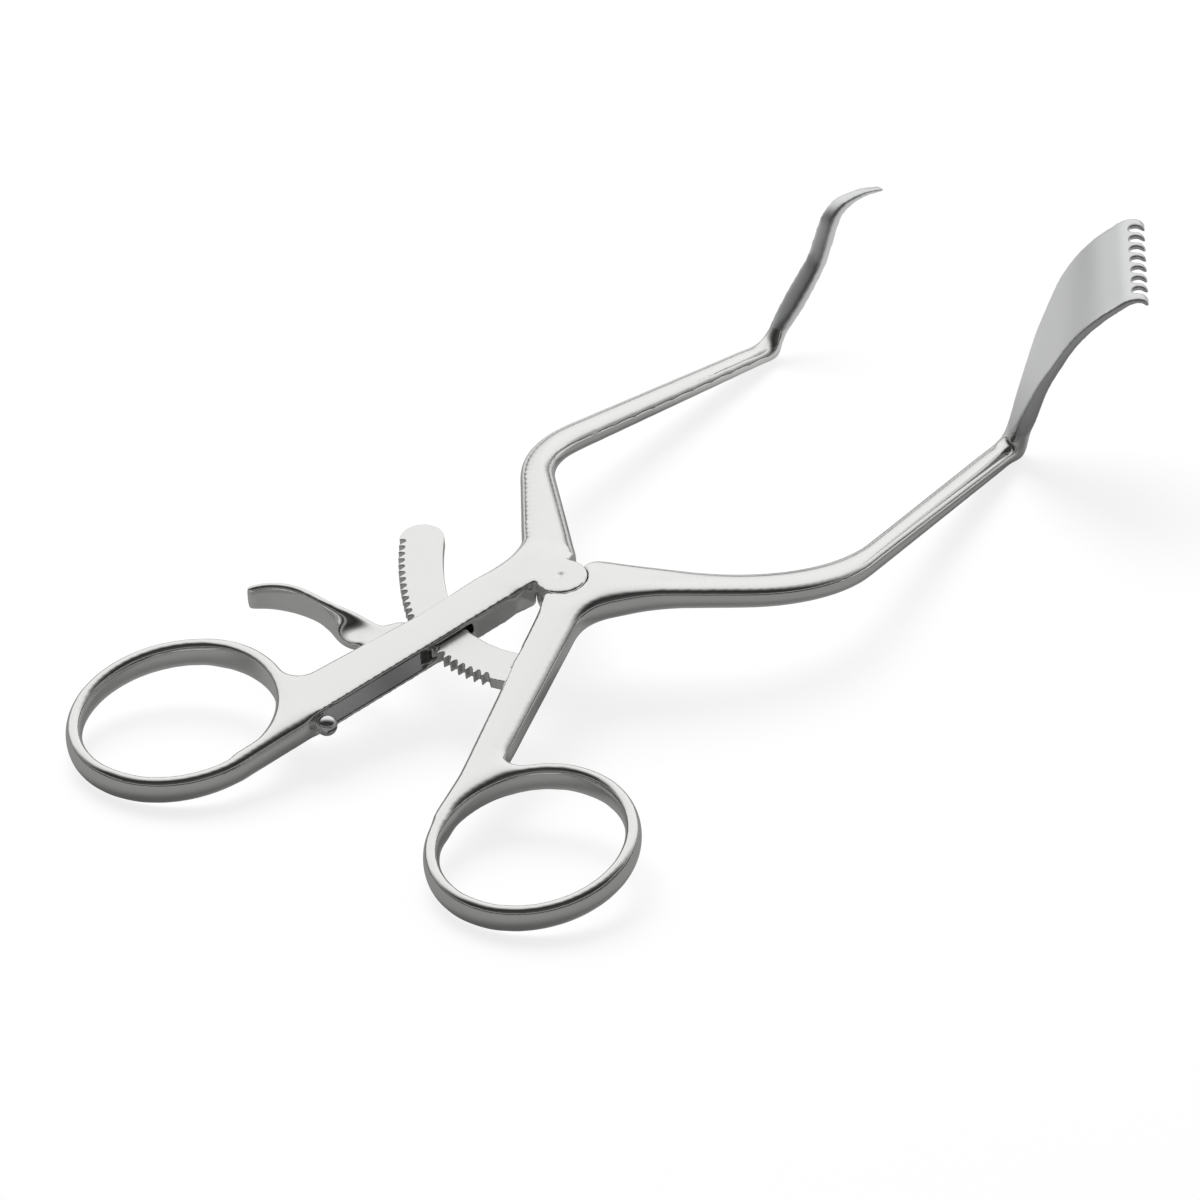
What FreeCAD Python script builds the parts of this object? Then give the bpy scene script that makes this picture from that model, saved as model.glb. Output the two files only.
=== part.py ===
"""Self-retaining retractor with angled arms, 190 mm long, in stainless steel.

Two finger-ring halves cross at a lapped box joint. A toothed arc fixed in the
right shank runs through a slot in the left shank, where a sprung release lever
holds it. Beyond the joint the arms slope away and carry the two blades: a
single hook on the left and a broad eight-tooth rake on the right.

Everything is drawn in the frame of the handles (joint pin at the origin, top
face of the shanks at z = 0, rings towards -Y) and is then tipped so that the
rings and the knees of the arms rest on the table at z = 0.
"""
import FreeCAD
import Part
import math
import os

V = FreeCAD.Vector

# handles
THICK = 5.0            # thickness of the shanks and the joint
RING_MAJOR = 16.2      # finger opening, half of the long axis
RING_MINOR = 14.3      # finger opening, half of the short axis
RING_BAR = 2.3         # width of the ring's bar
RING_TURN = 10.0       # how far the long axis leans outwards, degrees
RING_L = (-35.0, -55.1)
RING_R = (30.6, -54.6)

# box joint
EAR_R = 4.1
EAR_PLAY = 0.12        # gap round an ear in its recess
LAP_PLAY = 0.02        # half of the gap between the two lapped faces
PIN_R = 1.2
PIN_PLAY = 0.03

# arms
ARM_SLOPE = 20.0       # fall of the arms from the plane of the handles
ARM_HINGE_Y = 3.9      # where the top face bends
LOW_SLOPE_L = 18.87    # the undersides fall less, so both arms thin out
LOW_SLOPE_R = 19.13
TABLE_TILT = 10.2      # lift of the handles above the table, degrees
KNEE_L = (-25.8, 92.7)
KNEE_R = (21.0, 90.0)

# toothed arc
RACK_IN = 17.7
RACK_TIP = 24.7
TOOTH_DEPTH = 1.05
TOOTH_PITCH = 3.6      # degrees about the joint pin
RACK_TOP = -1.5
RACK_THICK = 2.0
SLOT_PLAY = 0.2

# release lever
LEVER_PIN = (-12.9, -26.0)
LEVER_PIN_R = 0.9
NOSE_GAP = 0.15        # crest of a tooth to the nose, lever at rest

# rake
RAKE_TEETH = 8
RAKE_WIDTH = 24.3
RAKE_YAW = 35.5        # the toothed edge swings inwards by this, degrees


def outline(corners, at=lambda x, y: V(x, y, 0)):
    """A closed wire through (x, y, radius) corners, each rounded by its radius."""
    n = len(corners)
    marks = []
    for i in range(n):
        x, y, r = corners[i]
        p = V(x, y, 0)
        a = V(*corners[i - 1][:2], 0) - p
        b = V(*corners[(i + 1) % n][:2], 0) - p
        if r == 0:
            marks.append((p, p, p))
            continue
        half = a.getAngle(b) / 2
        back = r / math.tan(half)
        mid_dir = (a.normalize() + b.normalize()).normalize()
        mid = p + mid_dir * (r / math.sin(half) - r)
        marks.append((p + a * back, mid, p + b * back))
    edges = []
    for i in range(n):
        start, mid, end = marks[i]
        nxt = marks[(i + 1) % n][0]
        if start.distanceToPoint(end) > 1e-6:
            arc = Part.Arc(at(start.x, start.y), at(mid.x, mid.y), at(end.x, end.y))
            edges.append(arc.toShape())
        if end.distanceToPoint(nxt) > 1e-6:
            edges.append(Part.makeLine(at(end.x, end.y), at(nxt.x, nxt.y)))
    return Part.Wire(edges)


def prism(corners, z0, z1):
    """A plan outline raised from z0 to z1."""
    face = Part.Face(outline(corners, lambda x, y: V(x, y, z0)))
    return face.extrude(V(0, 0, z1 - z0))


def disc(x, y, r, z0, z1):
    return Part.makeCylinder(r, z1 - z0, V(x, y, z0))


def oval(centre, major, minor, turn, z0, z1):
    """An elliptical plug; its long axis is turned from +Y by turn degrees."""
    ell = Part.Ellipse(V(0, 0, z0), major, minor)
    face = Part.Face(Part.Wire(ell.toShape()))
    solid = face.extrude(V(0, 0, z1 - z0))
    solid.rotate(V(0, 0, 0), V(0, 0, 1), 90 + turn)
    solid.translate(V(centre[0], centre[1], 0))
    return solid


def bend_z(y, corner_y, corner_z, angle, radius):
    """Height of a face that is level, then bends down through a round."""
    t = radius * math.tan(math.radians(angle) / 2)
    end = corner_y + t * math.cos(math.radians(angle))
    if y <= corner_y - t:
        return corner_z
    if y >= end:
        return corner_z - (y - corner_y) * math.tan(math.radians(angle))
    return corner_z - radius + math.sqrt(radius ** 2 - (y - corner_y + t) ** 2)


TOP = (ARM_HINGE_Y, 0.0, ARM_SLOPE, 14.0)
LOW_L = (ARM_HINGE_Y + 1.2, -THICK, LOW_SLOPE_L, 18.0)
LOW_R = (ARM_HINGE_Y + 1.2, -THICK, LOW_SLOPE_R, 18.0)


def side_slab(low):
    """The side view of a half: level handles, then arms that fall away."""
    far = 120.0
    corners = [
        (-90, 0, 0),
        (TOP[0], TOP[1], TOP[3]),
        (far, bend_z(far, *TOP), 0),
        (far, bend_z(far, *low), 0),
        (low[0], low[1], low[3]),
        (-90, -THICK, 0),
    ]
    face = Part.Face(outline(corners, lambda y, z: V(-70, y, z)))
    return face.extrude(V(140, 0, 0))


def rim_edges(solid, level, keep):
    """Edges of the top or the underside that pass the keep(x, y) test."""
    out = []
    for e in solid.Edges:
        t0, t1 = e.FirstParameter, e.LastParameter
        pts = [e.valueAt(t0 + (t1 - t0) * k) for k in (0.02, 0.35, 0.65, 0.98)]
        across = abs(pts[0].y - pts[3].y) < 0.001
        if across and 0 < pts[0].y < 12 or e.Length < 4.6 and pts[0].y > 85:
            continue
        if all(abs(p.z - bend_z(p.y, *level)) < 0.01 for p in pts):
            if all(keep(p.x, p.y) for p in pts):
                out.append(e)
    return out


LEFT_PLAN = [
    (-22.5, -62.5, 0),
    (-17.3, -52.9, 0),
    (-2.6, -1.7, 0),
    (-1.2, 3.6, 0),
    (-2.0, 6.9, 0),
    (-26.8, 35.3, 20),
    (-23.8, 92.8, 0),
    (-27.9, 92.6, 0),
    (-31.8, 34.6, 30),
    (-9.4, 3.1, 9),
    (-14.6, -17.5, 60),
    (-24.3, -44.0, 0),
]

RIGHT_PLAN = [
    (16.2, -59.0, 0),
    (16.9, -44.0, 0),
    (6.9, -4.2, 7),
    (34.1, 24.3, 28),
    (23.2, 90.4, 0),
    (18.8, 89.7, 0),
    (30.5, 23.4, 28),
    (2.1, 7.2, 0),
    (1.4, 3.9, 0),
    (-0.8, -1.5, 0),
    (13.2, -51.2, 0),
]


def off_line(x, y, a, b):
    """Distance of a point from the straight line through a and b."""
    ux, uy = b[0] - a[0], b[1] - a[1]
    return abs((x - a[0]) * uy - (y - a[1]) * ux) / math.hypot(ux, uy)


def blank(plan, inner, ring, turn, low, valley_r, low_r):
    """A forged half: ring, shank, joint and arm in one, before machining."""
    body = prism(plan, -42, 2)
    body = body.fuse(oval(ring, RING_MAJOR + RING_BAR, RING_MINOR + RING_BAR, turn, -42, 2))
    body = body.cut(oval(ring, RING_MAJOR, RING_MINOR, turn, -42, 2))
    body = body.removeSplitter()
    upright = [e for e in body.Edges if e.Length > 40 and neck(e, ring)]
    body = body.makeFillet(valley_r, upright)
    body = body.common(side_slab(low)).removeSplitter()
    for level, r_out, r_in in ((TOP, 0.9, 0.5), (low, low_r, 0.6)):

        def bore(x, y):
            return math.hypot(x - ring[0], y - ring[1]) < RING_MAJOR + 0.4

        def rim(x, y):
            at_joint = y > -3 and abs(x) < 2.3
            at_wall = min(off_line(x, y, a, b) for a, b in zip(inner, inner[1:])) < 0.05
            return not (bore(x, y) or at_joint or at_wall)

        body = body.makeFillet(r_in, rim_edges(body, level, bore))
        body = body.makeFillet(r_out, rim_edges(body, level, rim))
    return body


def neck(edge, ring):
    """True for the upright edge in the valley between shank and ring."""
    a, b = edge.Vertexes[0].Point, edge.Vertexes[-1].Point
    if abs(a.x - b.x) + abs(a.y - b.y) > 1e-6:
        return False
    return a.y > ring[1] + 8 and abs(a.x - ring[0]) < 17.5 and a.y < -30


def joint_machining(body, own_top):
    """Cut the recess for the other half's ear and add this half's own ear."""
    mid = -THICK / 2
    if own_top:
        recess = disc(0, 0, EAR_R + EAR_PLAY, -THICK - 1, mid + LAP_PLAY)
        ear = disc(0, 0, EAR_R, mid + LAP_PLAY, 0)
    else:
        recess = disc(0, 0, EAR_R + EAR_PLAY, mid - LAP_PLAY, 1)
        ear = disc(0, 0, EAR_R, -THICK, mid - LAP_PLAY)
    return body.cut(recess).fuse(ear).removeSplitter()


def along_shank(shape, angle):
    """Turn a shape drawn along +X so that +X runs down a shank."""
    shape = shape.copy()
    shape.rotate(V(0, 0, 0), V(0, 0, 1), angle)
    return shape


SHANK_L = -106.2       # direction of the left shank's inner wall
WALL_L = -2.03         # that wall's distance from the joint pin
SHANK_R = -74.3
WALL_R = 1.16


def left_box(u0, u1, v0, v1, z0, z1):
    """A block on the left shank: u runs down the shank, v out of its inner wall."""
    box = Part.makeBox(u1 - u0, v1 - v0, z1 - z0, V(u0, WALL_L + v0, z0))
    return along_shank(box, SHANK_L)


SLOT_Z = (RACK_TOP - RACK_THICK - SLOT_PLAY, RACK_TOP + SLOT_PLAY)
SPRING_END = 27.0
SCREW_AT = 47.2
SEAT_DEPTH = 0.6
SPRING_HIGH = 3.2


def left_arm():
    inner = [(-22.5, -62.5), (-17.3, -52.9), (-2.6, -1.7)]
    body = blank(LEFT_PLAN, inner, RING_L, -RING_TURN, LOW_L, 3.2, 1.2)
    body = joint_machining(body, True)
    body = body.cut(disc(0, 0, PIN_R, -THICK, 1))
    mid = sum(SLOT_Z) / 2
    # the window right through the shank, for the toothed arc and the lever
    body = body.cut(left_box(16.2, 34.6, -12, 3, *SLOT_Z))
    body = body.cut(left_box(14.4, 20.0, -12, -3.6, *SLOT_Z))
    # the shallow seat of the leaf spring, with a wider oval end for the screw
    seat = left_box(SPRING_END - 1.2, SCREW_AT, -SEAT_DEPTH, 3, mid - 1.75, mid + 1.75)
    end = Part.makeCylinder(2.1, 6, V(SCREW_AT, WALL_L - SEAT_DEPTH, mid), V(0, 1, 0))
    end = end.fuse(Part.makeCylinder(2.1, 6, V(SCREW_AT - 2, WALL_L - SEAT_DEPTH, mid), V(0, 1, 0)))
    body = body.cut(seat).cut(along_shank(end, SHANK_L))
    hole = Part.makeCylinder(0.8, 3.4, V(SCREW_AT, WALL_L - SEAT_DEPTH, mid), V(0, -1, 0))
    body = body.cut(along_shank(hole, SHANK_L))
    return body.cut(disc(LEVER_PIN[0], LEVER_PIN[1], LEVER_PIN_R, -THICK - 1, 1))


RIVETS = [(5.0, -20.3), (8.3, -20.9)]
RIVET_R = 0.8


def right_arm():
    inner = [(16.2, -59.0), (13.2, -51.2), (-0.8, -1.5)]
    body = blank(RIGHT_PLAN, inner, RING_R, RING_TURN, LOW_R, 2.5, 1.2)
    body = joint_machining(body, False)
    body = body.cut(disc(0, 0, PIN_R + PIN_PLAY, -THICK - 1, 1))
    # pocket for the root of the toothed arc, open to the inner wall only
    body = body.cut(rack_body(RACK_ROOT, -84, 0.0))
    for x, y in RIVETS:
        body = body.cut(disc(x, y, RIVET_R, -THICK - 1, 1))
    return body


RACK_ROOT = -66.0      # where the arc ends inside the right shank, degrees
RACK_TURN = -135.0     # beyond this the free end opens out
RACK_FREE = 17.0       # length of that free end
FREE_R = 60.0          # its own, flatter, radius


def ring_sector(r0, r1, a0, a1, z0, z1):
    outer = Part.makeCylinder(r1, z1 - z0, V(0, 0, z0), V(0, 0, 1), a1 - a0)
    sector = outer.cut(Part.makeCylinder(r0, z1 - z0, V(0, 0, z0)))
    sector.rotate(V(0, 0, 0), V(0, 0, 1), a0)
    return sector


def rack_body(a1, a0, grow):
    """The plain arc about the joint pin, from angle a0 to a1."""
    z0 = RACK_TOP - RACK_THICK
    return ring_sector(RACK_IN - grow, RACK_TIP + grow, a0, a1, z0 - grow, RACK_TOP + grow)


def free_end():
    """The flatter tail of the arc, with a round end, tangent to the main arc."""
    a = math.radians(RACK_TURN)
    out = V(math.cos(a), math.sin(a), 0)
    mid_r = (RACK_IN + RACK_TIP) / 2
    half = (RACK_TIP - RACK_IN) / 2
    centre = out * (mid_r - FREE_R)
    sweep = math.degrees(RACK_FREE / FREE_R)
    z0 = RACK_TOP - RACK_THICK
    tail = ring_sector(FREE_R - half, FREE_R + half, RACK_TURN - sweep, RACK_TURN + 0.3, z0, RACK_TOP)
    tail.translate(centre)
    b = a - math.radians(sweep)
    tip = centre + V(math.cos(b), math.sin(b), 0) * FREE_R
    return tail.fuse(disc(tip.x, tip.y, half, z0, RACK_TOP)), centre, sweep


def tooth_gap(radius):
    """The notch between two teeth: a steep holding flank and a long ramp."""
    z0 = RACK_TOP - RACK_THICK - 1
    deep = radius - TOOTH_DEPTH
    pitch = RACK_TIP * math.radians(TOOTH_PITCH)
    plan = [
        (deep, 0.10, 0),
        (radius + 0.6, -0.12, 0),
        (radius + 0.6, pitch * 0.98, 0),
        (radius + 0.02, pitch * 0.86, 0),
        (deep, 0.42, 0),
    ]
    return prism(plan, z0, RACK_TOP + 1)


def ratchet_rack():
    tail, centre, sweep = free_end()
    body = rack_body(RACK_ROOT, RACK_TURN, 0.0).fuse(tail).removeSplitter()
    # teeth on the main arc, then on the tail, cut by the same notch
    count = int((-82.5 - RACK_TURN) / TOOTH_PITCH)
    for i in range(count):
        gap = tooth_gap(RACK_TIP)
        gap.mirror(V(0, 0, 0), V(0, 1, 0))
        gap.rotate(V(0, 0, 0), V(0, 0, 1), RACK_TURN + TOOTH_PITCH * (i + 0.5))
        body = body.cut(gap)
    half = (RACK_TIP - RACK_IN) / 2
    step = TOOTH_PITCH * RACK_TIP / (FREE_R + half)
    for i in range(int((sweep + 1.6) / step)):
        gap = tooth_gap(FREE_R + half)
        gap.rotate(V(0, 0, 0), V(0, 0, 1), RACK_TURN - step * (i + 0.5))
        gap.translate(centre)
        body = body.cut(gap)
    for x, y in RIVETS:
        body = body.cut(disc(x, y, RIVET_R, -THICK, 0))
    return body


def rack_rivet(i):
    x, y = RIVETS[i]
    return disc(x, y, RIVET_R, -THICK, 0)


def joint_pin():
    """A headless pivot, polished flush below and very slightly domed on top."""
    pin = disc(0, 0, PIN_R, -THICK, 0)
    dome = Part.makeSphere(4.0, V(0, 0, -3.85)).common(disc(0, 0, PIN_R, 0, 1))
    return pin.fuse(dome).removeSplitter()


def lever_pin():
    return disc(LEVER_PIN[0], LEVER_PIN[1], LEVER_PIN_R, -THICK, 0)


# stations of the thumb tab: plan position, height, heading, twist, width, thickness
TAB = [
    (-19.4, -24.4, -2.5, 172, 0, 5.4, 2.0),
    (-22.3, -24.3, -2.5, 168, 28, 5.3, 1.8),
    (-25.3, -23.7, -2.4, 166, 62, 5.2, 1.6),
    (-28.6, -23.0, -2.2, 168, 88, 5.2, 1.45),
    (-34.2, -22.4, -2.1, 183, 90, 5.3, 1.4),
    (-38.8, -23.6, -2.1, 206, 90, 5.1, 1.35),
    (-41.6, -25.7, -2.1, 226, 90, 4.3, 1.25),
]


def tab_section(x, y, z, heading, twist, width, thick):
    """A rectangle square to the heading; twist 90 stands it on edge."""
    h, t = math.radians(heading), math.radians(twist)
    side = V(math.sin(h), -math.cos(h), 0)
    wide = side * math.cos(t) + V(0, 0, 1) * math.sin(t)
    flat = side * -math.sin(t) + V(0, 0, 1) * math.cos(t)
    c = V(x, y, z)
    corners = []
    for a, b in ((-1, -1), (1, -1), (1, 1), (-1, 1)):
        corners.append(c + wide * (a * width / 2) + flat * (b * thick / 2))
    return Part.makePolygon(corners + corners[:1])


def release_lever():
    """Flat web with the pawl nose in the slot; outside it twists into a thumb tab."""
    z0, z1 = RACK_TOP - RACK_THICK, RACK_TOP
    nose_a = math.radians(-130.5)
    nose_r = RACK_TIP + NOSE_GAP
    nx, ny = nose_r * math.cos(nose_a), nose_r * math.sin(nose_a)
    web = prism([
        (nx, ny, 0),
        (nx + 0.75, ny - 1.1, 0),
        (-12.6, -23.6, 1.0),
        (-11.0, -24.8, 1.0),
        (-10.8, -27.6, 1.2),
        (-12.0, -31.2, 0.6),
        (-13.4, -31.2, 0.6),
        (-15.4, -28.4, 2.0),
        (-19.4, -27.1, 0),
        (-19.4, -21.7, 0),
        (-17.6, -19.6, 0.8),
    ], z0, z1)
    tab = Part.makeLoft([tab_section(*s) for s in TAB], True, False)
    lever = web.fuse(tab).removeSplitter()
    return lever.cut(disc(LEVER_PIN[0], LEVER_PIN[1], LEVER_PIN_R + PIN_PLAY, z0 - 1, z1 + 1))


def leaf_spring():
    mid = sum(SLOT_Z) / 2
    z0, z1 = mid - SPRING_HIGH / 2, mid + SPRING_HIGH / 2
    strip = left_box(SPRING_END, SCREW_AT, -SEAT_DEPTH, 0.45 - SEAT_DEPTH, z0, z1)
    end = Part.makeCylinder(SPRING_HIGH / 2, 0.45, V(SCREW_AT, WALL_L - SEAT_DEPTH, mid), V(0, 1, 0))
    hole = Part.makeCylinder(0.8, 2, V(SCREW_AT, WALL_L - 1, mid), V(0, 1, 0))
    return strip.fuse(along_shank(end, SHANK_L)).cut(along_shank(hole, SHANK_L)).removeSplitter()


def spring_screw():
    """Dome-headed screw, square to the inner wall, that clamps the leaf spring."""
    mid = sum(SLOT_Z) / 2
    seat = WALL_L - SEAT_DEPTH + 0.45
    shank = Part.makeCylinder(0.8, 3.4 + 0.45, V(SCREW_AT, seat, mid), V(0, -1, 0))
    neck_cyl = Part.makeCylinder(1.5, 0.7, V(SCREW_AT, seat, mid), V(0, 1, 0))
    ball = Part.makeSphere(1.7, V(SCREW_AT, seat + 1.2, mid))
    above = Part.makeBox(10, 10, 10, V(SCREW_AT - 5, seat, mid - 5))
    head = ball.common(above).fuse(neck_cyl)
    slot = Part.makeBox(4, 0.5, 0.5, V(SCREW_AT - 2, seat + 2.5, mid - 0.25))
    head = head.cut(slot)
    return along_shank(shank.fuse(head).removeSplitter(), SHANK_L)


TILT_C = math.cos(math.radians(TABLE_TILT))
TILT_S = math.sin(math.radians(TABLE_TILT))


def table_point(x, y, z):
    """A point of the handle frame, tipped into the frame of the table."""
    return V(x, y * TILT_C - z * TILT_S, y * TILT_S + z * TILT_C)


def knee(at):
    """Top of an arm's end, in the frame of the table."""
    return table_point(at[0], at[1], bend_z(at[1], *TOP))


def side_on(corners, yaw, half):
    """A side view (lean, rise, radius) thickened evenly both ways along its width.

    yaw is the plan direction of the lean, measured from +X."""
    wire = outline(corners, lambda a, b: V(a, -half, b))
    solid = Part.Face(wire).extrude(V(0, 2 * half, 0))
    solid.rotate(V(0, 0, 0), V(0, 0, 1), yaw)
    return solid


def rake_front(width):
    """Front view of the rake: a narrow stem that spreads to the toothed edge."""
    w = width / 2
    spread = [(1.9, -6.0), (2.0, 0.5), (3.4, 3.8), (5.6, 9.2), (7.9, 14.8), (9.9, 19.8)]
    spread += [(11.2, 24.5), (11.9, 28.5), (w, 33.0), (w, 44.0)]
    right = Part.BSplineCurve()
    right.interpolate([V(0, x, z) for x, z in spread[1:-1]])
    left = Part.BSplineCurve()
    left.interpolate([V(0, -x, z) for x, z in spread[1:-1]])
    top = [V(0, -w, 33.0), V(0, -w, 44.0), V(0, w, 44.0), V(0, w, 33.0)]
    foot = [V(0, 2.0, 0.5), V(0, 1.9, -6.0), V(0, -1.9, -6.0), V(0, -2.0, 0.5)]
    edges = [right.toShape(), left.toShape()]
    edges += Part.makePolygon(top).Edges + Part.makePolygon(foot).Edges
    face = Part.Face(Part.Wire(Part.__sortEdges__(edges)))
    solid = face.extrude(V(60, 0, 0))
    solid.translate(V(-12, 0, 0))
    return solid


def right_blade(arm):
    """The eight-tooth rake: thick stem, thin curved plate, teeth hooked outwards."""
    side = [
        (-0.9, -3.05, 1.2),
        (-0.9, 0.2, 0),
        (3.9, 14.8, 40.0),
        (9.4, 27.0, 24.0),
        (17.4, 32.9, 5.0),
        (19.9, 33.3, 1.6),
        (20.9, 31.7, 0),
        (20.5, 31.4, 0),
        (19.4, 32.2, 0.9),
        (17.7, 31.7, 4.0),
        (10.4, 25.8, 23.0),
        (5.7, 14.2, 40.0),
        (2.7, 0.0, 6.0),
        (2.2, -3.05, 1.7),
    ]
    plate = side_on(side, 0, 14.0)
    plate = plate.common(rake_front(RAKE_WIDTH))
    pitch = RAKE_WIDTH / RAKE_TEETH
    for i in range(1, RAKE_TEETH):
        v = -RAKE_WIDTH / 2 + pitch * i
        gap = Part.makeBox(9, 1.7, 9, V(18.9, v - 0.85, 27))
        root = Part.makeCylinder(0.85, 9, V(18.9, v, 27))
        plate = plate.cut(gap.fuse(root))
    plate.rotate(V(0, 0, 0), V(0, 0, 1), RAKE_YAW)
    plate.translate(knee(KNEE_R))
    return plate.cut(arm)


HOOK_YAW = 75.0


def left_prong(arm):
    """The single hook: a flat bar that leans forward, then bends level."""
    side = [
        (-0.8, -2.55, 1.0),
        (-0.8, 0.2, 1.0),
        (8.7, 11.6, 8.0),
        (12.1, 20.6, 5.0),
        (18.0, 21.0, 12.0),
        (22.9, 19.7, 0),
        (22.7, 19.0, 0),
        (18.0, 19.8, 9.0),
        (13.8, 18.6, 3.0),
        (10.7, 10.9, 8.0),
        (1.9, 0.0, 1.5),
        (1.5, -2.55, 1.2),
    ]
    bar = side_on(side, 0, 4.0)
    plan = [
        (-3.0, -1.6, 0),
        (0.5, -1.6, 0),
        (7.0, -1.75, 20),
        (12.5, -1.3, 20),
        (23.4, -0.8, 0.8),
        (23.4, 0.8, 0.8),
        (12.5, 1.3, 20),
        (7.0, 1.75, 20),
        (0.5, 1.6, 0),
        (-3.0, 1.6, 0),
    ]
    bar = bar.common(prism(plan, -10, 30))
    bar.rotate(V(0, 0, 0), V(0, 0, 1), HOOK_YAW)
    bar.translate(knee(KNEE_L))
    return bar.cut(arm)


def main():
    os.makedirs("parts", exist_ok=True)
    handles = {
        "left_arm": left_arm(),
        "right_arm": right_arm(),
        "ratchet_rack": ratchet_rack(),
        "joint_pin": joint_pin(),
        "lever_pin": lever_pin(),
        "release_lever": release_lever(),
        "leaf_spring": leaf_spring(),
        "spring_screw": spring_screw(),
        "rack_rivet_front": rack_rivet(0),
        "rack_rivet_rear": rack_rivet(1),
    }
    pieces = {}
    for name, shape in handles.items():
        shape.rotate(V(0, 0, 0), V(1, 0, 0), TABLE_TILT)
        pieces[name] = shape
    pieces["right_blade"] = right_blade(pieces["right_arm"])
    pieces["left_prong"] = left_prong(pieces["left_arm"])
    box = Part.makeCompound(list(pieces.values())).optimalBoundingBox(False)
    shift = V(-box.Center.x, -box.Center.y, -box.ZMin)
    print("joint pin top centre at", shift, "box", box.XLength, box.YLength, box.ZLength)
    for name, shape in pieces.items():
        shape.translate(shift)
        shape.exportStep(os.path.join("parts", name + ".step"))
        print(name, shape.isValid(), len(shape.Solids), round(shape.Volume, 2))


if __name__ == "__main__":
    main()
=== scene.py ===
"""Self-retaining retractor of satin stainless steel, on a white table."""
import math

import bmesh
import bpy
import numpy as np
from mathutils import Matrix, Vector


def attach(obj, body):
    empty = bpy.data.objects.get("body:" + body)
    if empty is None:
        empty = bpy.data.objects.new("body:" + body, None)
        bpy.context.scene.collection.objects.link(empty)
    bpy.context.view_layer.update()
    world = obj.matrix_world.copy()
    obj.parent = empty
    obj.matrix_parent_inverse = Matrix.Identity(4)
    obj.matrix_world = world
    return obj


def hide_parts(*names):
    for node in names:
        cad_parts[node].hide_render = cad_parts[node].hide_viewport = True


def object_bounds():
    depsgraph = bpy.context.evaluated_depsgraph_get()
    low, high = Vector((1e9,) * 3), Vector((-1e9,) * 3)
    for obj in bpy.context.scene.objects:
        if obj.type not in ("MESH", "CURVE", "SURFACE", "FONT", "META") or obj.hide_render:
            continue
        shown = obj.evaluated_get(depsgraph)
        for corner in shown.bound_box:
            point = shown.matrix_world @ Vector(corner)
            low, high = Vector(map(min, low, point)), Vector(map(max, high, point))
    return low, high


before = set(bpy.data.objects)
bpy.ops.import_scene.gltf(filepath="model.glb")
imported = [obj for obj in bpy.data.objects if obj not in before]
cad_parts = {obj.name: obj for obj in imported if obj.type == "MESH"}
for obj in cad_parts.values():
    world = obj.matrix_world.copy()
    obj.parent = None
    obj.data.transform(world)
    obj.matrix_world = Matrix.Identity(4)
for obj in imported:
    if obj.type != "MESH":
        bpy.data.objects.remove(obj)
cad_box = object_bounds()

# the handles slope up to the joint, and the joint pin's face is their origin
TILT = math.radians(10.2)
HANDLE_UP = Vector((0, -math.sin(TILT), math.cos(TILT)))
PIN_TOP = Vector((0.0022, -0.023521, 0.0180))
LEFT_SHANK_TURN = -106.2                        # degrees in the handles' plane

# the photo's viewpoint
VIEW_RIGHT = Vector((0.831001, 0.555972, 0.018243))
VIEW_UP = Vector((-0.302770, 0.424546, 0.853282))
VIEW_BACK = Vector((0.466656, -0.714602, 0.521130))
VIEW_WIDTH = 0.186
CAMERA_AWAY = 1.6

# light
ROOF_CENTRE = Vector((-0.476, 0.703, 0.530))    # the middle of the bright screen
TABLE_SIZE = 3.0                                # half of its side
TABLE_GREY = 0.22
TABLE_GLOW = 0.81                               # with the lamp on it, the table shows white

# skins
HALF_FACES = 0.00025                            # size of the faces before they are thinned
HALF_PASSES = 240
ARC_FACES = 0.00014
LEVER_FACES = 0.00016
MOST_TRIANGLES = 180000


def put(name, data):
    """A new object in the scene."""
    obj = bpy.data.objects.new(name, data)
    bpy.context.scene.collection.objects.link(obj)
    return obj


def make_camera():
    """Parallel view from the front right, a little above the rings."""
    data = bpy.data.cameras.new("camera")
    data.type = "ORTHO"
    data.ortho_scale = VIEW_WIDTH
    data.clip_end = 6.0
    camera = put("camera", data)
    aim = PIN_TOP + VIEW_RIGHT * 0.006045 - VIEW_UP * 0.003875
    turn = Matrix((VIEW_RIGHT, VIEW_UP, VIEW_BACK)).transposed()
    camera.matrix_world = Matrix.Translation(aim + VIEW_BACK * CAMERA_AWAY) @ turn.to_4x4()
    bpy.context.scene.camera = camera


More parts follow.
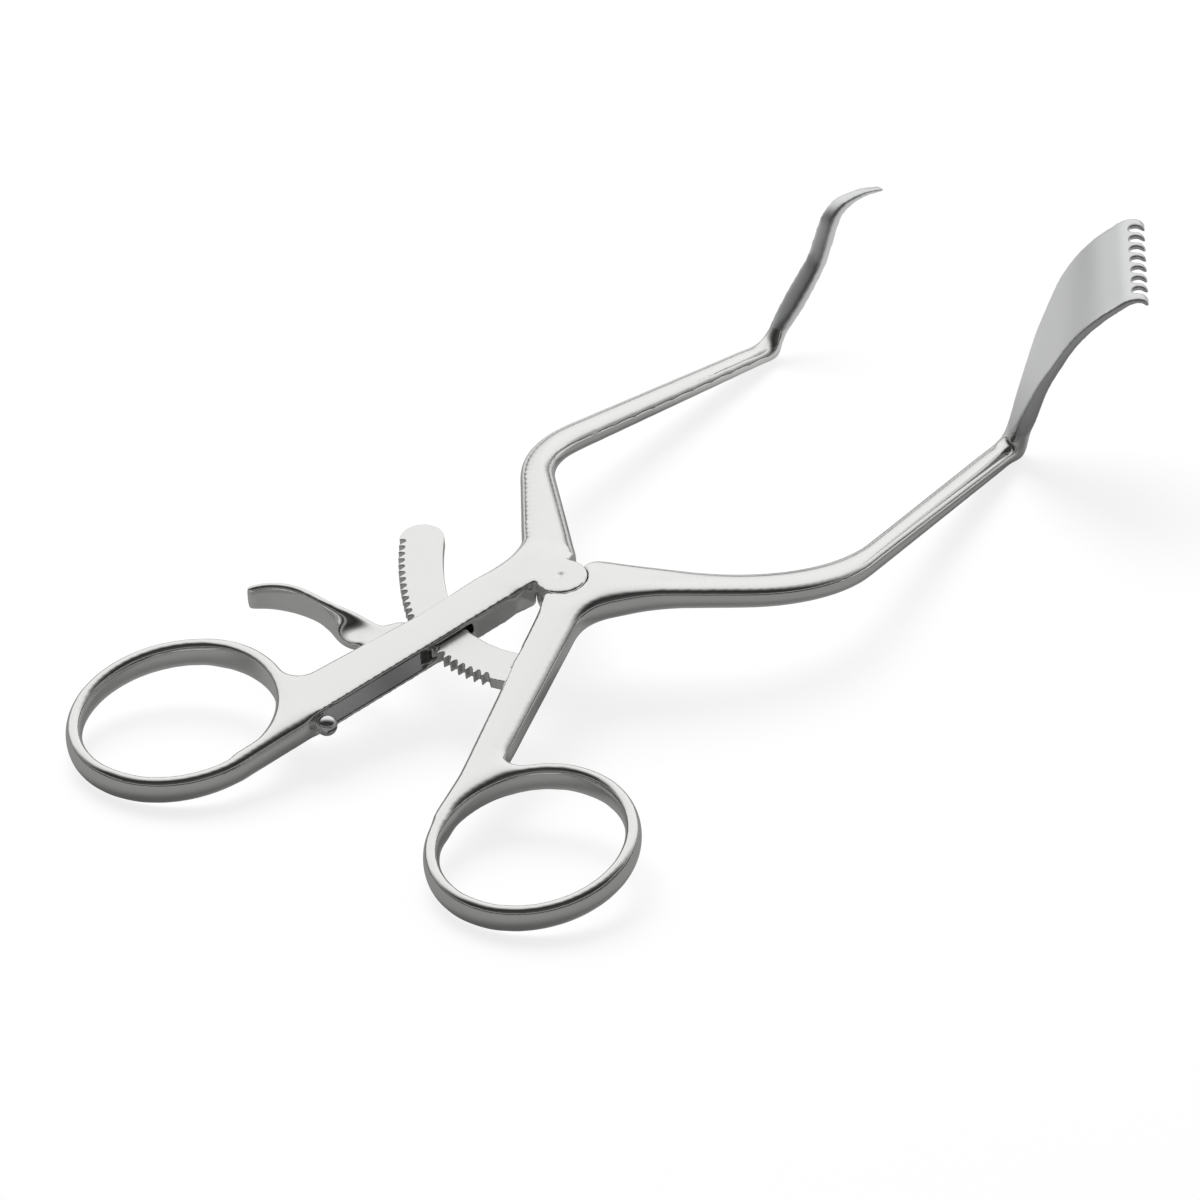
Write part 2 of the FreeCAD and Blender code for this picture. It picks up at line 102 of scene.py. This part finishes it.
class Nodes:
    """Short calls to add and wire the nodes of one material."""

    def __init__(self, tree):
        self.tree = tree
        self.tree.nodes.clear()

    def add(self, kind, **values):
        node = self.tree.nodes.new(kind)
        for key, value in values.items():
            setattr(node, key, value)
        return node

    def wire(self, source, target):
        self.tree.links.new(source, target)

    def math(self, operation, a, b=0.0, clamp=False):
        node = self.add("ShaderNodeMath", operation=operation, use_clamp=clamp)
        for socket, value in zip(node.inputs, (a, b)):
            if isinstance(value, (int, float)):
                socket.default_value = value
            else:
                self.wire(value, socket)
        return node.outputs[0]

    def along(self, vector, direction):
        node = self.add("ShaderNodeVectorMath", operation="DOT_PRODUCT")
        self.wire(vector, node.inputs[0])
        node.inputs[1].default_value = direction
        return node.outputs["Value"]

    def remap(self, value, low, high, to_low, to_high):
        node = self.add("ShaderNodeMapRange")
        node.inputs["From Min"].default_value = low
        node.inputs["From Max"].default_value = high
        node.inputs["To Min"].default_value = to_low
        node.inputs["To Max"].default_value = to_high
        self.wire(value, node.inputs["Value"])
        return node.outputs[0]

    def noise(self, where, scale, detail, roughness):
        node = self.add("ShaderNodeTexNoise")
        node.inputs["Scale"].default_value = scale
        node.inputs["Detail"].default_value = detail
        node.inputs["Roughness"].default_value = roughness
        self.wire(where, node.inputs["Vector"])
        return node.outputs["Fac"]

    def levels(self, value, stops):
        """Grey levels between (place, level) stops."""
        node = self.add("ShaderNodeValToRGB")
        elements = node.color_ramp.elements
        while len(elements) < len(stops):
            elements.new(0.5)
        for element, (place, level) in zip(elements, stops):
            element.position = place
            element.color = (level, level, level, 1)
        self.wire(value, node.inputs[0])
        return node.outputs[0]


def steel(name, colour, flat_rough, round_rough, grain, grain_turn=0.0, speckle=0.0):
    """Satin steel: matt on the ground flat faces, bright on the rounded ones."""
    mat = bpy.data.materials.new(name)
    mat.use_nodes = True
    n = Nodes(mat.node_tree)
    out = n.add("ShaderNodeOutputMaterial")
    shader = n.add("ShaderNodeBsdfPrincipled")
    n.wire(shader.outputs[0], out.inputs["Surface"])
    shader.inputs["Metallic"].default_value = 1.0
    place = n.add("ShaderNodeTexCoord").outputs["Object"]

    # 1 on faces that lie along the handles, 0 on the rounds beside them
    facing = n.along(n.add("ShaderNodeNewGeometry").outputs["Normal"], HANDLE_UP)
    flat = n.remap(n.math("ABSOLUTE", facing), 0.90, 0.985, 0.0, 1.0)

    # fine grain drawn out along the piece
    turn = n.add("ShaderNodeMapping")
    turn.inputs["Rotation"].default_value = (0, 0, grain_turn)
    turn.inputs["Scale"].default_value = (1.0, 0.06, 1.0)
    n.wire(place, turn.inputs["Vector"])
    lines = n.noise(turn.outputs[0], 5200.0, 3.0, 0.6)
    cloud = n.noise(place, 90.0, 3.0, 0.55)
    dots = n.noise(place, 4200.0, 2.0, 0.7)

    def spread(noise, low, high):
        return n.remap(noise, 0.3, 0.7, low, high)

    rough = n.remap(flat, 0.0, 1.0, round_rough, flat_rough)
    rough = n.math("ADD", rough, spread(cloud, -0.03, 0.04))
    rough = n.math("ADD", rough, spread(lines, -0.5 * grain, 0.5 * grain), clamp=True)
    n.wire(rough, shader.inputs["Roughness"])

    shade = n.add("ShaderNodeMix", data_type="RGBA")
    shade.inputs["A"].default_value = tuple(0.93 * c for c in colour) + (1,)
    shade.inputs["B"].default_value = colour + (1,)
    mottle = n.math("ADD", spread(cloud, 0.35, 0.9), spread(dots, -speckle, speckle), clamp=True)
    n.wire(mottle, shade.inputs["Factor"])
    n.wire(shade.outputs["Result"], shader.inputs["Base Color"])

    height = n.math("ADD", spread(lines, 0.0, grain), spread(dots, 0.0, 0.4 * speckle))
    bump = n.add("ShaderNodeBump")
    bump.inputs["Strength"].default_value = 0.35
    bump.inputs["Distance"].default_value = 0.00004
    n.wire(height, bump.inputs["Height"])
    n.wire(bump.outputs[0], shader.inputs["Normal"])
    return mat


def on_handles(x, y, z=0.0):
    """A point given in millimetres in the plane of the handles, joint pin at the origin."""
    return PIN_TOP + Matrix.Rotation(TILT, 3, "X") @ Vector((x, y, z)) / 1000


def mesh_from(bm, name):
    mesh = bpy.data.meshes.new(name)
    bm.to_mesh(mesh)
    bm.free()
    return mesh


def modified(mesh, kind, **values):
    """The mesh as one modifier leaves it."""
    obj = put("skin", mesh)
    modifier = obj.modifiers.new("change", kind)
    for key, value in values.items():
        setattr(modifier, key, value)
    bpy.context.view_layer.update()
    ready = obj.evaluated_get(bpy.context.evaluated_depsgraph_get())
    result = bpy.data.meshes.new_from_object(ready)
    bpy.data.objects.remove(obj)
    return result


def fine_skin(meshes, size):
    """One closed skin of even small faces over solids that touch."""
    bm = bmesh.new()
    for mesh in meshes:
        bm.from_mesh(mesh)
    bmesh.ops.remove_doubles(bm, verts=bm.verts, dist=2e-7)
    return modified(mesh_from(bm, "union"), "REMESH", mode="VOXEL", voxel_size=size)


def thinned(skin):
    """The same skin in fewer faces, where it has more than it needs."""
    triangles = len(skin.loops) - 2 * len(skin.polygons)
    if triangles <= MOST_TRIANGLES:
        return skin
    return modified(skin, "DECIMATE", ratio=MOST_TRIANGLES / triangles)


def filler(corners):
    """A plate as thick as the handles, from corners in their plane."""
    bm = bmesh.new()
    top = [bm.verts.new(on_handles(x, y, -0.05)) for x, y in corners]
    low = [bm.verts.new(on_handles(x, y, -4.95)) for x, y in corners]
    bm.faces.new(top)
    bm.faces.new(low[::-1])
    for i in range(len(top)):
        bm.faces.new((top[i - 1], low[i - 1], low[i], top[i]))
    bmesh.ops.recalc_face_normals(bm, faces=bm.faces)
    return mesh_from(bm, "filler")


def soften(places, ends, passes):
    """Evens out the corners of a skin, like tumbling does."""
    first, last = ends
    total = len(places)
    count = np.bincount(first, minlength=total) + np.bincount(last, minlength=total)
    count = np.maximum(count, 1)
    for _ in range(passes):
        mean = np.empty_like(places)
        for k in range(3):
            near = np.bincount(first, places[last, k], total)
            mean[:, k] = (near + np.bincount(last, places[first, k], total)) / count
        places = places + 0.6 * (mean - places)
    return places


def step(distance, start, end):
    """0 up to start, 1 beyond end, with a soft step between."""
    t = np.clip((distance - start) / (end - start), 0, 1)
    return t * t * (3 - 2 * t)


def from_joint_axis(places):
    """Height over the handles' top face, and the way from the joint's axis."""
    up = np.array(HANDLE_UP)
    off = places - np.array(PIN_TOP)
    height = off @ up
    return height, off - height[:, None] * up


def punch_mark(places):
    """The shallow punched dot in the middle of the joint."""
    height, out = from_joint_axis(places)
    reach = np.linalg.norm(out, axis=1) / 0.0010
    bowl = (1 - np.minimum(reach, 1) ** 2) ** 2
    bowl = np.where((reach < 1) & (np.abs(height) < 0.0006), bowl, 0)
    return places - 0.00040 * bowl[:, None] * np.array(HANDLE_UP)


def clear_joint(places):
    """Hidden sliding faces stand a little clear, so that the halves turn without rubbing."""
    height, out = from_joint_axis(places)
    reach = np.linalg.norm(out, axis=1)
    under_ear = (reach < 0.006) & (height < -0.0023) & (height > -0.00275)
    pin_shaft = (reach < 0.002) & (height < -0.00245)
    lift = 0.00008 * under_ear[:, None] * np.array(HANDLE_UP)
    return places + lift - 0.12 * pin_shaft[:, None] * out


# each rule below says how much of the rounding a place gets, from 0 to 1

def away_from(point, keep, reach):
    centre = np.array(point)
    return lambda places: step(np.linalg.norm(places - centre, axis=1), keep, reach)


def slot_stays(places):
    """Round the slot for the arc the left shank keeps its square edges."""
    angle = math.radians(LEFT_SHANK_TURN)
    way = Matrix.Rotation(TILT, 3, "X") @ Vector((math.cos(angle), math.sin(angle), 0))
    u = (places - np.array(PIN_TOP)) @ np.array(way)
    return 1 - 0.75 * (step(u, 0.006, 0.010) - step(u, 0.046, 0.050))


def hook_stays(places):
    """The hook is thin, so it is rounded less than the arm."""
    height = places[:, 2] - on_handles(-25.8, 92.7, -32.0)[2]
    near = places[:, 1] > on_handles(0, 88, -30)[1]
    return np.where(near, 1 - 0.75 * step(height, 0.001, 0.005), 1.0)


def rake_stays(places):
    """The rake is thinner still and keeps its teeth."""
    height = places[:, 2] - on_handles(0, 90, -31)[2]
    near = places[:, 1] > on_handles(0, 85, -30)[1]
    return np.where(near, 1 - 0.92 * step(height, 0.001, 0.006), 1.0)


def teeth_stay(places):
    """The toothed edge is cut after the arc is polished."""
    reach = np.linalg.norm(from_joint_axis(places)[1], axis=1)
    return 1 - step(reach, 0.0215, 0.0228)


joint_stays = away_from(on_handles(0, 0, -2.5), 0.0055, 0.0095)
nose_stays = away_from(on_handles(-9.5, -27.5, -2.5), 0.006, 0.009)


def forged_piece(name, body, nodes, size, passes, rules, fill=(), changes=(), evening=7, blade_foot=None):
    """Pieces as they leave the polishing wheel: their edges run into soft rounds."""
    skin = fine_skin([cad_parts[node].data for node in nodes] + list(fill), size)
    places = np.empty(len(skin.vertices) * 3)
    skin.vertices.foreach_get("co", places)
    ends = np.empty(len(skin.edges) * 2, int)
    skin.edges.foreach_get("vertices", ends)
    ends = (ends[0::2], ends[1::2])
    places = soften(places.reshape(-1, 3), ends, evening)
    # rounds on what is left over keep the width of a bar while its corners go
    shape = soften(places, ends, passes)
    for _ in range(2):
        shape = shape + soften(places - shape, ends, passes)
    share = np.min([rule(places) for rule in rules], axis=0)
    shape = places + share[:, None] * (shape - places)
    for change in changes:
        shape = change(shape)
    low, high = np.array(cad_box[0]), np.array(cad_box[1])
    skin.vertices.foreach_set("co", np.clip(shape, low, high).ravel())
    skin.update()
    skin = thinned(skin)
    skin.materials.clear()
    skin.materials.append(satin)
    if blade_foot is not None:
        skin.materials.append(ground)
        for face in skin.polygons:
            off = face.center - blade_foot
            face.material_index = 1 if off.z > 0.0012 and off.y > -0.008 else 0
    skin.shade_smooth()
    piece = put(name, skin)
    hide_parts(*nodes)
    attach(piece, body)


def dress(node, material):
    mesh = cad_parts[node].data
    mesh.materials.clear()
    mesh.materials.append(material)


def make_table():
    """White table and the soft shadows on it."""
    mesh = bpy.data.meshes.new("table")
    s = TABLE_SIZE
    mesh.from_pydata([(-s, -s, 0), (s, -s, 0), (s, s, 0), (-s, s, 0)], [], [(0, 1, 2, 3)])
    table = put("table", mesh)
    mat = bpy.data.materials.new("white_table")
    mat.use_nodes = True
    n = Nodes(mat.node_tree)
    out = n.add("ShaderNodeOutputMaterial")
    paint = n.add("ShaderNodeBsdfDiffuse")
    paint.inputs["Color"].default_value = (TABLE_GREY, TABLE_GREY, TABLE_GREY, 1)
    glow = n.add("ShaderNodeEmission")
    glow.inputs["Color"].default_value = (1, 1, 1, 1)
    rays = n.add("ShaderNodeLightPath").outputs
    # painted reflection: for reflected rays the table glows by place, so polished faces see the white table
    # behind the blades and little of it in front, a painted shade on their front sides
    behind = n.along(n.add("ShaderNodeTexCoord").outputs["Object"], (-0.45, 0.89, 0.0))
    painted_reflection_glow = n.remap(behind, 0.050, 0.085, 0.09, 0.52)
    lit = n.math("MULTIPLY", rays["Is Camera Ray"], TABLE_GLOW)
    lit = n.math("ADD", lit, n.math("MULTIPLY", rays["Is Glossy Ray"], painted_reflection_glow))
    lit = n.math("ADD", lit, n.math("MULTIPLY", rays["Is Transmission Ray"], TABLE_GLOW))
    n.wire(lit, glow.inputs["Strength"])
    both = n.add("ShaderNodeAddShader")
    n.wire(paint.outputs[0], both.inputs[0])
    n.wire(glow.outputs[0], both.inputs[1])
    n.wire(both.outputs[0], out.inputs["Surface"])
    mesh.materials.append(mat)


def make_room():
    """Studio room: a broad bright screen behind and above, a dark front."""
    world = bpy.data.worlds.new("room")
    bpy.context.scene.world = world
    world.use_nodes = True
    n = Nodes(world.node_tree)
    out = n.add("ShaderNodeOutputWorld")
    back = n.add("ShaderNodeBackground")
    n.wire(back.outputs[0], out.inputs[0])
    way = n.add("ShaderNodeTexCoord").outputs["Generated"]
    towards = n.remap(n.along(way, ROOF_CENTRE), -1.0, 1.0, 0.0, 1.0)
    screen = n.levels(towards, [(0.0, 0.10), (0.30, 0.07), (0.50, 0.03), (0.64, 0.12),
                                (0.74, 0.50), (0.85, 1.14), (1.0, 1.28)])
    # the walls stay dark near the table, apart from one low strip of light
    split = n.add("ShaderNodeSeparateXYZ")
    n.wire(way, split.inputs[0])
    wall = n.levels(split.outputs["Z"], [(0.03, 0.05), (0.16, 1.0)])
    low_strip = n.levels(split.outputs["Z"], [(0.10, 0.0), (0.14, 0.42), (0.22, 0.42), (0.27, 0.0)])
    n.wire(n.math("MAXIMUM", n.math("MULTIPLY", screen, wall), low_strip), back.inputs["Strength"])


def make_softbox():
    """One square lamp, behind and to the left, that gives the shadows."""
    data = bpy.data.lights.new("main_softbox", "AREA")
    data.shape = "RECTANGLE"
    data.size = data.size_y = 0.7
    data.energy = 9.0
    lamp = put("main_softbox", data)
    lamp.location = (-0.55, 0.35, 0.95)
    lamp.rotation_euler = (-lamp.location).to_track_quat("-Z", "Y").to_euler()
    lamp.visible_glossy = False


make_camera()
make_table()
make_room()
make_softbox()

satin = steel("satin_steel", (0.85, 0.85, 0.835), 0.32, 0.13, grain=0.05, speckle=0.05)
ground = steel("ground_blade_steel", (0.76, 0.765, 0.77), 0.36, 0.36, grain=0.05, grain_turn=0.6)

# the fillers round off the corner where a shank meets its finger ring
forged_piece("left_half_forging", "left_half",
             ["left_arm", "left_prong", "lever_pin", "joint_pin"], HALF_FACES, HALF_PASSES,
             [joint_stays, slot_stays, hook_stays],
             fill=[filler([(-16.5, -49.9), (-17.9, -55.3), (-19.6, -60.8), (-22.0, -60.0), (-19.5, -51.0)])],
             changes=(punch_mark, clear_joint), blade_foot=on_handles(-25.8, 92.7, -31.0))
forged_piece("right_half_forging", "right_half",
             ["right_arm", "right_blade", "rack_rivet_front", "rack_rivet_rear"], HALF_FACES, HALF_PASSES,
             [joint_stays, rake_stays],
             fill=[filler([(11.95, -46.8), (12.9, -52.0), (13.85, -57.5), (17.0, -58.0), (15.0, -50.0)])],
             blade_foot=on_handles(21.0, 90.0, -30.0))
forged_piece("ratchet_arc", "right_half", ["ratchet_rack"], ARC_FACES, 20, [teeth_stay], evening=1)
forged_piece("thumb_lever", "lever", ["release_lever"], LEVER_FACES, 220, [nose_stays])
dress("spring_screw", steel("polished_pin_steel", (0.80, 0.80, 0.80), 0.16, 0.10, grain=0.04))
dress("leaf_spring", steel("rolled_spring_steel", (0.76, 0.76, 0.765), 0.24, 0.22, grain=0.10))

bpy.context.scene.view_settings.view_transform = "Standard"
